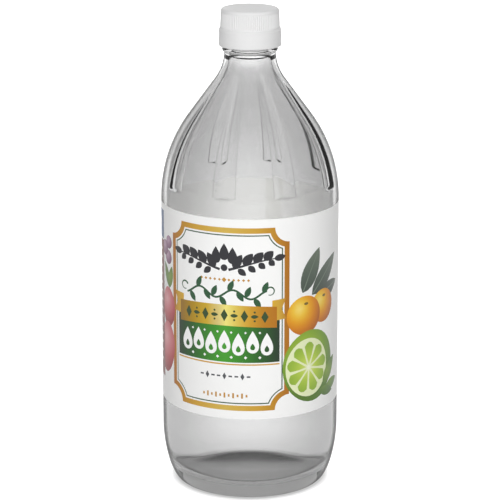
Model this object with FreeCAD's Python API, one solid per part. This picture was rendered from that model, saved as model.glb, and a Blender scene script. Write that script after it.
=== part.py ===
import FreeCAD, Part

import math
import os

# A one-quart round glass bottle of clear vinegar: a tall cylinder with a wide, slack shoulder, eight
# short flutes pressed into that shoulder, a paper label wrapped round the body, and a white screw cap.
# Millimetres, +Z up.  The origin is the middle of the circle that the bottle stands on, and -Y is the
# middle of the label's front.

# ---- driving dimensions -------------------------------------------------------------------------

# glass body
body_r = 44.0            # outside radius of the straight body
wall = 2.6               # glass thickness of the body, shoulder and neck
heel_top_z = 29.4        # where the body starts to draw in towards the base
heel_r = 75.5            # large radius that starts the heel
heel_deg = 15.3          # how far that large radius turns
heel_low_r = 27.5        # tighter radius below it
ring_corner_r = 3.9      # rounding down to the ring that the bottle stands on
push_up_z = 4.0          # height of the raised middle under the base
push_up_flat_r = 7.0     # radius of the flat in the middle of it
ring_land = 1.4          # width of the flat that touches the table
ring_w = 4.0             # how far the standing ring reaches inwards from that flat's outer edge
ring_rise = 0.9          # height of the ring's inner edge
crown_share = 0.72       # how full the hollow's curve is at half its width; 0.5 is a plain cone
lip_share = 0.3          # the same for the ring's inner rounding
floor_z = 5.6            # lowest place of the inside, where the heel meets the floor
floor_rise = 2.2         # how much higher the middle of the inside is
floor_corner_r = 16.0    # inside radius between the floor and the wall

# shoulder and neck
shoulder_z = 145.2       # where the body starts to draw in towards the neck
shoulder_r = 70.7        # radius of the shoulder's curve
cone_deg = 36.3          # slope of the straight stretch above it, from upright
flare_r = 23.0           # radius of the hollow curve up into the neck
neck_r = 12.6            # outside radius of the neck
bead_lift = 0.93         # from the foot of the straight neck to the middle of the carrying ring
bead_out = 1.0           # how far that ring stands out from the neck
bead_r = 1.05            # rounding radius of the ring
finish_h = 18.5          # from the ring's middle up to the rim of the mouth, all hidden in the cap

# flutes
flute_deg = 15.0         # how much of the circle each one takes
flute_places = (-60.0, -20.0, 20.0, 60.0)     # on the front half, repeated on the back half
flute_turn = 19.5        # how far the pattern is turned from the label's middle
flute_foot_up = 8.8      # square lower end, above the shoulder's foot
flute_head_down = 9.67   # upper end, where they fade out, below the foot of the straight neck
flute_depth = 1.35       # at the lower end
flute_flatter = 0.75     # share of its hollow that a flute has lost at the upper end
flute_stations = 8       # sections along each flute

# vinegar
fill_down = 4.4          # from the carrying ring's middle down to the surface of the vinegar

# paper label
label_foot_up = 14.4     # lower edge, above the top of the heel
label_head_down = 0.6    # upper edge, below the shoulder's foot
label_t = 0.12           # paper thickness
label_lap = 9.0          # how much the back seam overlaps

# cap
cap_gap = 0.6            # between the carrying ring and the cap
cap_band_out = 2.85      # how far the smooth band's lower edge stands out from the neck
cap_band_draft = 0.25    # how much narrower the band's top is
cap_band_h = 8.2         # height of the smooth band
cap_step_h = 0.6         # height of the slope between the band and the skirt
cap_edge = 0.7           # bevel of the lower edge
cap_skirt_out = 1.95     # how far the ribbed skirt's foot stands out from the neck
cap_skirt_draft = 0.25   # how much narrower the skirt's top is
cap_plate = 1.6          # thickness of the top over the mouth
cap_top_r = 1.4          # rounding of the top edge
cap_dish = 0.35          # depth of the shallow dish in the top
cap_dish_in = 2.0        # from the skirt to the dish
thread_room = 0.9        # space between neck and cap that the screw thread takes
band_room = 0.8          # further space behind the smooth band
rib_count = 90           # fine upright ribs round the skirt
rib_depth = 0.28         # from a rib's crest to the bottom of its groove
rib_bare = 1.6           # plain stretch between the ribs' tops and the cap's top

# ---- helpers ------------------------------------------------------------------------------------

full_turn = 360.0
half_turn = 180.0
up = FreeCAD.Vector(0, 0, 1)


def at(r, z):
    """A point of an outline: distance from the axis, height."""
    return FreeCAD.Vector(r, 0, z)


def on_circle(centre, radius, deg):
    """The point of a circle in the XZ plane, with the angle counted from +X towards +Z."""
    a = math.radians(deg)
    return FreeCAD.Vector(centre.x + radius * math.cos(a), 0, centre.z + radius * math.sin(a))


def bow(centre, radius, deg0, deg1):
    """An arc of that circle from one angle to another."""
    middle = on_circle(centre, radius, (deg0 + deg1) / 2)
    return Part.Arc(on_circle(centre, radius, deg0), middle, on_circle(centre, radius, deg1)).toShape()


def run(p, q):
    """A straight edge."""
    return Part.LineSegment(p, q).toShape()


def dome(edge_r, edge_z, rise):
    """An arc from the axis out to an edge, level at the axis and higher there by the rise."""
    ball_r = (edge_r ** 2 + rise ** 2) / (2 * abs(rise))
    side_up = math.copysign(1, rise)
    half = math.asin(edge_r / ball_r) / 2
    middle = at(ball_r * math.sin(half), edge_z + rise - side_up * ball_r * (1 - math.cos(half)))
    return Part.Arc(at(0, edge_z + rise), middle, at(edge_r, edge_z)).toShape()


def turned(edges):
    """The solid that a closed outline makes when it is turned about the axis."""
    face = Part.Face(Part.Wire(Part.__sortEdges__(edges)))
    return face.revolve(FreeCAD.Vector(0, 0, 0), up, full_turn)


def around(shape, deg):
    """A copy turned about the axis."""
    copy = shape.copy()
    copy.rotate(FreeCAD.Vector(0, 0, 0), up, deg)
    return copy


# ---- the shoulder's line, shared by glass, vinegar and flutes ------------------------------------

cone = math.radians(cone_deg)
arc_centre = at(body_r - shoulder_r, shoulder_z)
cone_low = on_circle(arc_centre, shoulder_r, cone_deg)
flare_top_r = neck_r + flare_r * (1 - math.cos(cone))
cone_run = (cone_low.x - flare_top_r) / math.sin(cone)
cone_high = at(flare_top_r, cone_low.z + cone_run * math.cos(cone))
flare_centre = at(neck_r + flare_r, cone_high.z + flare_r * math.sin(cone))

# ---- sizes that follow from the shoulder's line and the neck --------------------------------------

cap_band_r = neck_r + cap_band_out
cap_skirt_r = neck_r + cap_skirt_out
bead_z = flare_centre.z + bead_lift
mouth_z = bead_z + finish_h
fill_z = bead_z - fill_down
flute_foot_z = shoulder_z + flute_foot_up
flute_head_z = flare_centre.z - flute_head_down
label_foot_z = heel_top_z + label_foot_up
label_head_z = shoulder_z - label_head_down
print("neck starts at", round(flare_centre.z, 2), "ring", round(bead_z, 2), "mouth", round(mouth_z, 2),
      "surface", round(fill_z, 2), "flutes", round(flute_foot_z, 2), "to", round(flute_head_z, 2))


def side(inset):
    """The wall from the shoulder's foot to the neck, moved inwards by the inset, from below upwards."""
    low = bow(arc_centre, shoulder_r - inset, 0, cone_deg)
    high = bow(flare_centre, flare_r + inset, half_turn + cone_deg, half_turn)
    straight = run(on_circle(arc_centre, shoulder_r - inset, cone_deg),
                   on_circle(flare_centre, flare_r + inset, half_turn + cone_deg))
    return [low, straight, high]


def shoulder_point(share):
    """A point on the outer shoulder and its outward angle, for a share of the way from foot to neck."""
    arc_run = shoulder_r * cone
    flare_run = flare_r * cone
    way = share * (arc_run + cone_run + flare_run)
    if way <= arc_run:
        deg = math.degrees(way / shoulder_r)
        return on_circle(arc_centre, shoulder_r, deg), deg
    if way <= arc_run + cone_run:
        part = (way - arc_run) / cone_run
        return cone_low + (cone_high - cone_low) * part, cone_deg
    deg = cone_deg - math.degrees((way - arc_run - cone_run) / flare_r)
    return on_circle(flare_centre, flare_r, half_turn + deg), deg


def share_at(z):
    """The share of the way at which the shoulder has that height, found by halving."""
    low, high = 0.0, 1.0
    for _ in range(40):
        middle = (low + high) / 2
        if shoulder_point(middle)[0].z < z:
            low = middle
        else:
            high = middle
    return (low + high) / 2


# ---- glass bottle -------------------------------------------------------------------------------

def heel_edges():
    """The outside from the standing ring up to the body, and the outer radius of the ring's flat."""
    big = at(body_r - heel_r, heel_top_z)
    low = on_circle(big, heel_r - heel_low_r, -heel_deg)
    turn = math.degrees(math.asin((low.z - ring_corner_r) / (heel_low_r - ring_corner_r)))
    corner = on_circle(low, heel_low_r - ring_corner_r, -turn)
    edges = [bow(corner, ring_corner_r, -90, -turn), bow(low, heel_low_r, -turn, -heel_deg),
             bow(big, heel_r, -heel_deg, 0)]
    return edges, corner.x


def base_edges(ring_r):
    """The underside from the axis out to the outer edge of the flat that touches the table."""
    flat = at(push_up_flat_r, push_up_z)
    foot = at(ring_r - ring_w, ring_rise)
    crown = at((flat.x + foot.x) / 2, foot.z + (flat.z - foot.z) * crown_share)
    land = at(ring_r - ring_land, 0)
    lip = at((foot.x + land.x) / 2, ring_rise * lip_share)
    return [run(at(0, push_up_z), flat), Part.Arc(flat, crown, foot).toShape(),
            Part.Arc(foot, lip, land).toShape(), run(land, at(ring_r, 0))]


def inner_edges(top_z):
    """The inside wall and floor, from the axis up to a height in the neck."""
    inner_r = body_r - wall
    corner = at(inner_r - floor_corner_r, floor_z + floor_corner_r)
    floor_edge = on_circle(corner, floor_corner_r, -90)
    bore_r = neck_r - wall
    return [dome(floor_edge.x, floor_z, floor_rise),
            bow(corner, floor_corner_r, -90, 0),
            run(at(inner_r, corner.z), at(inner_r, shoulder_z)),
            *side(wall),
            run(at(bore_r, flare_centre.z), at(bore_r, top_z))]


def flute_tool():
    """A tapering round bar that lies along the shoulder and cuts one scalloped flute."""
    foot_share = share_at(flute_foot_z)
    head_share = share_at(flute_head_z)
    half = math.radians(flute_deg / 2)
    rings = []
    for i in range(flute_stations):
        way = i / (flute_stations - 1)
        point, deg = shoulder_point(foot_share + (head_share - foot_share) * way)
        depth = flute_depth * (1 - way * way)      # fades out slowly at first
        chord = point.x * math.sin(half)
        crown = point.x * (1 - math.cos(half))
        hollow = flute_depth * (1 - flute_flatter * way) - crown
        bar_r = (chord ** 2 + hollow ** 2) / (2 * hollow)
        out = FreeCAD.Vector(math.cos(math.radians(deg)), 0, math.sin(math.radians(deg)))
        along = FreeCAD.Vector(-out.z, 0, out.x)
        rings.append(Part.Wire(Part.Circle(point + out * (bar_r - depth), along, bar_r).toShape()))
    return Part.makeLoft(rings, True)


def flutes():
    """All eight flutes: four on the front half and four on the back half."""
    front = -90 + flute_turn
    tool = flute_tool()
    return [around(tool, middle + place) for middle in (front, front + half_turn) for place in flute_places]


def carrying_ring():
    """The rounded ring on the neck, just below the cap."""
    tip_r = neck_r + bead_out
    waist = neck_r - wall / 2
    low, high = bead_z - bead_r, bead_z + bead_r
    edges = [run(at(waist, low), at(tip_r - bead_r, low)),
             bow(at(tip_r - bead_r, bead_z), bead_r, -90, 90),
             run(at(tip_r - bead_r, high), at(waist, high)),
             run(at(waist, high), at(waist, low))]
    return turned(edges)


def bottle():
    """The glass: one hollow turned wall with the carrying ring added and the flutes cut away."""
    heel, ring_r = heel_edges()
    bore_r = neck_r - wall
    edges = [*base_edges(ring_r), *heel,
             run(at(body_r, heel_top_z), at(body_r, shoulder_z)),
             *side(0),
             run(at(neck_r, flare_centre.z), at(neck_r, mouth_z)),
             run(at(neck_r, mouth_z), at(bore_r, mouth_z)),
             *inner_edges(mouth_z),
             run(at(0, floor_z + floor_rise), at(0, push_up_z))]
    return turned(edges).fuse(carrying_ring()).cut(flutes())


# ---- vinegar, label and cap ---------------------------------------------------------------------

def vinegar():
    """The liquid: everything inside the glass up to its surface in the neck."""
    bore_r = neck_r - wall
    edges = [*inner_edges(fill_z), run(at(bore_r, fill_z), at(0, fill_z)),
             run(at(0, fill_z), at(0, floor_z + floor_rise))]
    return turned(edges)


def label():
    """The paper label: a sleeve round the body, with one thickness more where its ends overlap."""
    height = label_head_z - label_foot_z
    foot = FreeCAD.Vector(0, 0, label_foot_z)
    sleeve = Part.makeCylinder(body_r + label_t, height, foot).cut(
        Part.makeCylinder(body_r, height, foot))
    lap_deg = math.degrees(label_lap / body_r)
    lap = Part.makeCylinder(body_r + 2 * label_t, height, foot, up, lap_deg).cut(
        Part.makeCylinder(body_r + label_t / 2, height, foot))
    return sleeve.fuse(around(lap, 90 - lap_deg / 2)).removeSplitter()


def cap_body():
    """The cap without its ribs: a turned cup, upside down, whose lower band is smooth and wider."""
    foot_z = bead_z + bead_r + cap_gap
    band_z = foot_z + cap_band_h
    step_z = band_z + cap_step_h
    top_z = mouth_z + cap_plate
    top_r = cap_skirt_r - cap_skirt_draft
    inner_r = neck_r + thread_room
    band_inner_r = inner_r + band_room
    dish_r = top_r - cap_dish_in
    corner = at(top_r - cap_top_r, top_z - cap_top_r)
    edges = [run(at(band_inner_r, foot_z), at(cap_band_r - cap_edge, foot_z)),
             run(at(cap_band_r - cap_edge, foot_z), at(cap_band_r, foot_z + cap_edge)),
             run(at(cap_band_r, foot_z + cap_edge), at(cap_band_r - cap_band_draft, band_z)),
             run(at(cap_band_r - cap_band_draft, band_z), at(cap_skirt_r, step_z)),
             run(at(cap_skirt_r, step_z), at(top_r, corner.z)),
             bow(corner, cap_top_r, 0, 90),
             run(at(corner.x, top_z), at(dish_r, top_z)),
             dome(dish_r, top_z, -cap_dish),
             run(at(0, top_z - cap_dish), at(0, mouth_z)),
             run(at(0, mouth_z), at(inner_r, mouth_z)),
             run(at(inner_r, mouth_z), at(inner_r, step_z)),
             run(at(inner_r, step_z), at(band_inner_r, band_z)),
             run(at(band_inner_r, band_z), at(band_inner_r, foot_z))]
    return turned(edges), step_z, top_z


def rib_ring(low_z, high_z):
    """What is cut away between the ribs: a thick ring whose inner wall is a row of points."""
    root_r = cap_skirt_r - rib_depth
    tip_r = cap_skirt_r + rib_depth / 2
    star = []
    for i in range(2 * rib_count + 1):
        a = math.pi * i / rib_count
        r = tip_r if i % 2 == 0 else root_r
        star.append(FreeCAD.Vector(r * math.cos(a), r * math.sin(a), low_z))
    core = Part.Face(Part.makePolygon(star)).extrude(up * (high_z - low_z))
    ring = Part.makeCylinder(2 * cap_skirt_r, high_z - low_z, FreeCAD.Vector(0, 0, low_z))
    return ring.cut(core)


def cap():
    """The white screw cap with its fine upright ribs."""
    body, step_z, top_z = cap_body()
    return body.cut(rib_ring(step_z, top_z - rib_bare))


# ---- write one file for each piece --------------------------------------------------------------

os.makedirs("parts", exist_ok=True)
pieces = {"bottle": bottle(), "vinegar": vinegar(), "label": label(), "cap": cap()}
for name, shape in pieces.items():
    solid = shape.Solids[0]
    print(name, len(shape.Solids), "solid", "valid" if solid.isValid() else "INVALID",
          round(solid.Volume / 1000, 2), "ml", [round(v, 2) for v in (solid.BoundBox.XLength,
          solid.BoundBox.YLength, solid.BoundBox.ZMin, solid.BoundBox.ZMax)])
    solid.exportStep("parts/" + name + ".step")
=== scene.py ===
# %% [markdown]
# # A quart of clear vinegar
#
# The real thing is a pressed and blown flint glass bottle with eight flutes in its shoulder, filled
# with white vinegar up into the neck, wrapped in a printed paper label and shut with a ribbed white
# screw cap.  The solid model already holds its true sizes.  Here each piece gets a finer skin of the
# same sizes, and the finish that the real material has.

import math

import bpy
import numpy as np
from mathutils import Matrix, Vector
from mathutils.geometry import delaunay_2d_cdt


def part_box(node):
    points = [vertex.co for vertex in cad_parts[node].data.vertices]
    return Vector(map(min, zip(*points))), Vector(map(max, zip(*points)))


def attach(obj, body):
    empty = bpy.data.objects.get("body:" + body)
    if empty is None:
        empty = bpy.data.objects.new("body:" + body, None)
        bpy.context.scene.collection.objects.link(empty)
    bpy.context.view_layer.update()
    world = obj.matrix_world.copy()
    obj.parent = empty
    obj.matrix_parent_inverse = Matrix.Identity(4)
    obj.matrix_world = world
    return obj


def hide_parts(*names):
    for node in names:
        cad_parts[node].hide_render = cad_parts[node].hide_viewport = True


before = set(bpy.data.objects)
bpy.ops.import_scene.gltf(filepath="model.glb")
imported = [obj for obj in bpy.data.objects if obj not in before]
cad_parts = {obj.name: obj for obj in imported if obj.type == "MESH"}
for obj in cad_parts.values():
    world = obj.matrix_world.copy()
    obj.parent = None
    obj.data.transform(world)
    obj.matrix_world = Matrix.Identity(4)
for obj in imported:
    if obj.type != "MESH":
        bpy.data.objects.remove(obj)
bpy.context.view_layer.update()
for piece in ("bottle", "vinegar", "label", "cap"):
    low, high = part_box(piece)
    print(piece, [round(1000 * v, 2) for v in low], [round(1000 * v, 2) for v in high], "mm")

# %% [markdown]
# ## Sizes
#
# Every size of the bottle below is in millimetres, measured from its axis and its foot, and is turned
# to metres where a mesh or a finish is made.  Only the studio's sizes are in metres.  A round wall
# needs no more than its outline: distance from the axis and height.  So the tools for outlines come
# first.

# %% Tools for outlines
mm = 0.001
full_turn = 2 * math.pi


def on_circle(middle, radius, deg):
    """The point of a circle at an angle, counted from outwards towards up."""
    a = math.radians(deg)
    return (middle[0] + radius * math.cos(a), middle[1] + radius * math.sin(a))


def bow(middle, radius, deg0, deg1, steps):
    """Points of an arc, both ends included."""
    return [on_circle(middle, radius, deg0 + (deg1 - deg0) * i / steps) for i in range(steps + 1)]


def between(p, q, steps):
    """Points of a straight stretch, both ends included."""
    return [(p[0] + (q[0] - p[0]) * i / steps, p[1] + (q[1] - p[1]) * i / steps) for i in range(steps + 1)]


def through(p, q, s, steps):
    """Points of the arc through three points."""
    (ax, ay), (bx, by), (cx, cy) = p, q, s
    d = 2 * (ax * (by - cy) + bx * (cy - ay) + cx * (ay - by))
    sq = [x * x + y * y for x, y in (p, q, s)]
    mx = (sq[0] * (by - cy) + sq[1] * (cy - ay) + sq[2] * (ay - by)) / d
    my = (sq[0] * (cx - bx) + sq[1] * (ax - cx) + sq[2] * (bx - ax)) / d
    start = math.degrees(math.atan2(ay - my, ax - mx))
    end = math.degrees(math.atan2(cy - my, cx - mx))
    if end - start > 180:
        end -= 360
    if start - end > 180:
        end += 360
    return bow((mx, my), math.hypot(ax - mx, ay - my), start, end, steps)


def joined(*runs):
    """One outline from several, with the doubled points where they meet left out."""
    line = list(runs[0])
    for run in runs[1:]:
        line += [p for i, p in enumerate(run) if i or math.dist(p, line[-1]) > 1e-6]
    return line


def smooth(x):
    """0 below 0, 1 above 1, and an easy curve between."""
    x = min(max(x, 0.0), 1.0)
    return x * x * (3 - 2 * x)


# %% [markdown]
# ## Rings into skins
#
# A glass mould, a cap mould and the liquid itself are all round, so each skin is a stack of rings.
# The number of points may drop from one ring to the next, which keeps the fine rings for the places
# that have flutes or ribs, and the hidden inside light.

# %% Tools for round skins
def ring(r, z, count, push=None):
    """Points round the axis in millimetres. push(angle) moves them outwards and up."""
    if r < 1e-9:
        return np.array([[0.0, 0.0, z]])
    a = np.arange(count) * full_turn / count
    out, lift = push(a) if push else (0.0, 0.0)
    return np.stack([(r + out) * np.cos(a), (r + out) * np.sin(a), z + lift + 0 * a], axis=1)


def bridge(first, n, second, m):
    """Faces between two rings that start at those vertex numbers and have n and m points."""
    if n == 1:
        return [(first, second + (j + 1) % m, second + j) for j in range(m)]
    if m == 1:
        return [(first + j, first + (j + 1) % n, second) for j in range(n)]
    if n == m:
        return [(first + j, first + (j + 1) % n, second + (j + 1) % n, second + j) for j in range(n)]
    faces = []
    k = max(n, m) // min(n, m)
    for j in range(min(n, m)):
        for i in range(k):
            if n > m:
                faces.append((first + k * j + i, first + (k * j + i + 1) % n, second + j))
            else:
                faces.append((first + j, second + (k * j + i + 1) % m, second + k * j + i))
        if n > m:
            faces.append((first + (k * j + k) % n, second + (j + 1) % m, second + j))
        else:
            faces.append((first + j, first + (j + 1) % n, second + (k * j + k) % m))
    return faces


def mesh_piece(name, points, faces, node, slot):
    """A smooth mesh piece that rides with the bottle and stands for one solid of the model."""
    mesh = bpy.data.meshes.new(name)
    mesh.from_pydata([tuple(p) for p in np.asarray(points) * mm], [], faces)
    mesh.update()
    mesh.polygons.foreach_set("use_smooth", [True] * len(mesh.polygons))
    piece = bpy.data.objects.new(name, mesh)
    bpy.context.scene.collection.objects.link(piece)
    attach(piece, "root")
    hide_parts(node)
    print(name, len(mesh.vertices), "points", sum(len(p.vertices) - 2 for p in mesh.polygons), "triangles")
    return piece


def skin(rings):
    """Points and faces of a closed skin from a stack of rings."""
    faces = []
    start = 0
    for low, high in zip(rings, rings[1:]):
        faces += bridge(start, len(low), start + len(low), len(high))
        start += len(low)
    return np.concatenate(rings), faces


# %% [markdown]
# ## The shoulder's line
#
# The glassmaker's drawing for this shoulder is one slack curve, a short straight slope and a hollow
# curve up into the neck.  Glass, liquid and flutes all follow it, so it is worked out once.

# %% Shoulder line
body_r = 44.0
wall = 2.6
shoulder_z = 145.2
shoulder_r = 70.7
cone_deg = 36.3
flare_r = 23.0
neck_r = 12.6

cone = math.radians(cone_deg)
arc_middle = (body_r - shoulder_r, shoulder_z)
cone_low = on_circle(arc_middle, shoulder_r, cone_deg)
flare_foot_r = neck_r + flare_r * (1 - math.cos(cone))
cone_run = (cone_low[0] - flare_foot_r) / math.sin(cone)
cone_high = (flare_foot_r, cone_low[1] + cone_run * math.cos(cone))
flare_middle = (neck_r + flare_r, cone_high[1] + flare_r * math.sin(cone))
arc_run = shoulder_r * cone
flare_run = flare_r * cone
shoulder_run = arc_run + cone_run + flare_run


def shoulder_point(way, inset=0.0):
    """The wall's point that many millimetres up the shoulder, moved inwards, and its outward slope."""
    if way <= arc_run:
        deg = math.degrees(way / shoulder_r)
        return on_circle(arc_middle, shoulder_r - inset, deg), deg
    if way <= arc_run + cone_run:
        p = on_circle(arc_middle, shoulder_r - inset, cone_deg)
        q = on_circle(flare_middle, flare_r + inset, 180 + cone_deg)
        t = (way - arc_run) / cone_run
        return (p[0] + (q[0] - p[0]) * t, p[1] + (q[1] - p[1]) * t), cone_deg
    deg = cone_deg - math.degrees((way - arc_run - cone_run) / flare_r)
    return on_circle(flare_middle, flare_r + inset, 180 + deg), deg


def way_at(z):
    """How far up the shoulder the outside has that height, found by halving."""
    low, high = 0.0, shoulder_run
    for _ in range(40):
        middle = (low + high) / 2
        if shoulder_point(middle)[0][1] < z:
            low = middle
        else:
            high = middle
    return (low + high) / 2


print("shoulder", round(shoulder_run, 1), "mm along the wall, neck from", round(flare_middle[1], 2), "mm")

# %% [markdown]
# ## Flutes
#
# On the real bottle the mould leaves eight shallow scallops in the shoulder, four in front and four
# behind, that end square above the label and fade out under the neck.  They could be cut with a
# boolean, but pushing the points of the outer skin inwards keeps the glass smooth, and with one point
# for each degree the flutes' edges fall exactly on lines of the mesh.

# %% Flutes pushed into the shoulder
# Half a flute's width, the turn of each set of four and the places in a set are in degrees.
flute_half = 7.5
flute_turn = 19.5
flute_places = (-60, -20, 20, 60)
flute_depth = 1.35
flute_foot_up = 8.8
flute_head_down = 9.67
flute_foot_way = way_at(shoulder_z + flute_foot_up)
flute_head_way = way_at(flare_middle[1] - flute_head_down)
foot_ramp = 2.0
flute_middles = [side + flute_turn + place for side in (-90, 90) for place in flute_places]


def flute_push(way, slope_deg):
    """How the flutes move the ring that lies that far up the shoulder."""
    share = (way - flute_foot_way) / (flute_head_way - flute_foot_way)
    if share > 1:
        return None
    depth = flute_depth * (1 - max(share, 0) ** 2) * smooth((way - flute_foot_way) / foot_ramp + 0.5)
    if depth <= 0:
        return None
    slope = math.radians(slope_deg)

    def push(a):
        inwards = 0 * a
        for middle in flute_middles:
            off = (np.degrees(a) - middle + 180) % 360 - 180
            inwards = np.maximum(inwards, depth * (1 - (off / flute_half) ** 2))
        return -inwards * math.cos(slope), -inwards * math.sin(slope)

    return push


print("flutes from", round(flute_foot_way, 1), "to", round(flute_head_way, 1), "mm up the shoulder")

# %% [markdown]
# ## Glass
#
# The bottle stands on a narrow ring, because a hollow base can't rock.  From there the outside runs
# over the heel, the straight body, the fluted shoulder, the neck and the carrying ring, and comes back
# down the inside.  It is one closed skin, as glass has to be for light to bend in it properly.

# %% Outside of the glass
heel_top_z = 29.4
heel_r = 75.5
heel_deg = 15.3
heel_low_r = 27.5
corner_r = 3.9
push_up_z = 4.0
push_up_flat_r = 7.0
ring_land = 1.4
ring_w = 4.0
ring_rise = 0.9
push_up_fullness = 0.72
ring_fullness = 0.3
bead_lift = 0.93
bead_z = flare_middle[1] + bead_lift
bead_out = 1.0
bead_r = 1.05
bead_sweep = 72
finish_h = 18.5
mouth_z = bead_z + finish_h
mouth_round = 0.5
fine = 360

heel_big = (body_r - heel_r, heel_top_z)
heel_low = on_circle(heel_big, heel_r - heel_low_r, -heel_deg)
heel_turn = math.degrees(math.asin((heel_low[1] - corner_r) / (heel_low_r - corner_r)))
corner = on_circle(heel_low, heel_low_r - corner_r, -heel_turn)
flat = (push_up_flat_r, push_up_z)
foot = (corner[0] - ring_w, ring_rise)
land = (corner[0] - ring_land, 0.0)
crown = ((flat[0] + foot[0]) / 2, foot[1] + (flat[1] - foot[1]) * push_up_fullness)
lip = ((foot[0] + land[0]) / 2, ring_rise * ring_fullness)
standing = joined(between((0, push_up_z), flat, 4),
                  through(flat, crown, foot, 14),
                  through(foot, lip, land, 5),
                  between(land, (corner[0], 0.0), 2),
                  bow(corner, corner_r, -90, -heel_turn, 9),
                  bow(heel_low, heel_low_r, -heel_turn, -heel_deg, 12),
                  bow(heel_big, heel_r, -heel_deg, 0, 14),
                  between((body_r, heel_top_z), (body_r, shoulder_z), 8))
outside = [ring(r, z, fine) for r, z in standing]
print("base, heel and body", len(outside), "rings, on a ring of radius", round(land[0], 2), "mm")

# %% [markdown]
# Up the shoulder the rings lie close at its foot and where the flutes begin, because that step is only
# two millimetres long, then evenly along the flutes, and wider on the plain glass above them.

# %% Shoulder with its flutes
first_way = 1.2
ways = {*np.arange(1, 36) / 36 * 0.2 * flute_foot_way, *np.linspace(0.22, 0.93, 6) * flute_foot_way,
        *(flute_foot_way + foot_ramp * np.linspace(-0.55, 0.55, 9)),
        *np.linspace(flute_foot_way + 1.2, flute_head_way, 52),
        *np.linspace(flute_head_way + 0.8, shoulder_run, 14)}
ways = sorted(way for way in ways if way > first_way)
for way in ways:
    (r, z), slope = shoulder_point(way)
    outside.append(ring(r, z, fine, flute_push(way, slope)))
print("shoulder", len(ways), "rings")

# %% Neck and carrying ring
tip_r = neck_r + bead_out


def hollow(side):
    """The small hollow from the neck to the carrying ring, under it (-1) or above it (1)."""
    return through((neck_r, bead_z + side * (bead_r + 0.25)),
                   (neck_r + 0.12, bead_z + side * (bead_r + 0.06)),
                   (neck_r + 0.3, bead_z + side * (bead_r - 0.02)), 3)


neck_line = joined(between((neck_r, flare_middle[1] - 0.2), (neck_r, bead_z - bead_r - 0.25), 1),
                   hollow(-1),
                   bow((tip_r - bead_r, bead_z), bead_r, -bead_sweep, bead_sweep, 12),
                   hollow(1)[::-1],
                   between((neck_r, bead_z + bead_r + 0.4), (neck_r, mouth_z - mouth_round), 3),
                   bow((neck_r - mouth_round, mouth_z - mouth_round), mouth_round, 0, 90, 3))
outside += [ring(r, z, fine) for r, z in neck_line if z > flare_middle[1] - 0.01]
print("outside of the glass", len(outside), "rings, mouth at", round(mouth_z, 2), "mm")

# %% [markdown]
# The inside is smoother than the outside: it has no flutes, so half as many points round it are
# enough.  Its floor is slightly domed, where the real one is pushed up by the mould's base plate.

# %% Inside of the glass
floor_z = 5.6
floor_rise = 2.2
floor_corner_r = 16.0
coarse = 180
bore_r = neck_r - wall
inner_r = body_r - wall


def lining(inset, top_z):
    """The inside's outline from the middle of the floor up to a height in the neck, moved into the wall."""
    floor_edge_r = inner_r - floor_corner_r
    ball_r = (floor_edge_r ** 2 + floor_rise ** 2) / (2 * floor_rise)
    half = math.degrees(math.asin(floor_edge_r / ball_r))
    dome = bow((0, floor_z + floor_rise - ball_r), ball_r - inset, 90, 90 - half, 8)
    low = bow((floor_edge_r, floor_z + floor_corner_r), floor_corner_r + inset, -90, 0, 14)
    shoulder = [shoulder_point(way, wall - inset)[0] for way in np.linspace(0, shoulder_run, 44)]
    return joined(dome, low, between(low[-1], shoulder[0], 8), shoulder,
                  between((bore_r + inset, flare_middle[1] + 0.05), (bore_r + inset, top_z), 2))


bore_top_z = mouth_z - mouth_round
inside = [ring(max(r, 0), z, coarse if r > 1e-6 else 1) for r, z in reversed(lining(0.0, bore_top_z))]
lip_in = bow((bore_r + mouth_round, bore_top_z), mouth_round, 90, 180, 3)[:-1]
lip_in = [ring(r, z, coarse) for r, z in lip_in]
glass = mesh_piece("glass", *skin(outside + lip_in + inside), "bottle", "glass")

# %% [markdown]
# A flute meets the shoulder in a sharp bend, which gathers light away from the eye and shows as a thin
# dark line.  Here that line is painted shade: the bends are marked on the skin, and the marks fade
# towards the flutes' upper ends.

# %% Painted dark lines at the bends of the flutes
bend_fade = 0.6
# Painted shade: how dark a line each point of the flutes' bends gets.
painted_bend_shade = np.zeros((len(glass.data.vertices), 4), np.float32)
painted_bend_shade[:, 3] = 1
turns = np.arange(fine) * 360 / fine
fluted_start = 1 + (len(standing) - 1) * fine
foot_line = min(ways, key=lambda way: abs(way - flute_foot_way))
for k, way in enumerate(ways):
    share = (way - flute_foot_way) / (flute_head_way - flute_foot_way)
    if way < foot_line or share > 1:
        continue
    for middle in flute_middles:
        off = np.abs((turns - middle + 180) % 360 - 180)
        bent = off < flute_half if way == foot_line else np.abs(off - flute_half) < 0.5
        painted_bend_shade[fluted_start + k * fine + np.flatnonzero(bent), :3] = 1 - bend_fade * share
bends = glass.data.color_attributes.new("bends", "FLOAT_COLOR", "POINT")
bends.data.foreach_set("color", painted_bend_shade.ravel())
print("points on the flutes' bends", int((painted_bend_shade[:, 0] > 0).sum()))

# %% [markdown]
# ## Vinegar
#
# The liquid wets the glass, so its skin lies a little inside the wall, with no film of air between.
# Its surface stands in the neck and climbs about a millimetre and a half at the edge, as a wetting
# liquid does in a narrow bore.  The climb dies out over about the same way inwards.

# %% The body of vinegar
into_wall = 0.15
edge_r = bore_r + into_wall
fill_down = 4.4
fill_z = bead_z - fill_down
climb = 1.5
climb_reach = 1.6
wall_stop = 0.3


def surface(r):
    """Height of the vinegar's surface at that distance from the axis."""
    return fill_z + climb * math.exp((r - edge_r) / climb_reach)


# The bore's line is the same as the glass's, up to just under the surface.
wetted = [p for p in lining(into_wall, fill_z) if p[1] < fill_z - wall_stop]
steps_in = (*np.linspace(edge_r, edge_r - 3.0, 12), *np.linspace(edge_r - 4, 0.5, 5), 0.0)
top = [(r, surface(r)) for r in steps_in]
level = [ring(max(r, 0), z, coarse if r > 1e-6 else 1) for r, z in joined(wetted, top)]
vinegar = mesh_piece("vinegar_fill", *skin(level), "vinegar", "vinegar")

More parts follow.
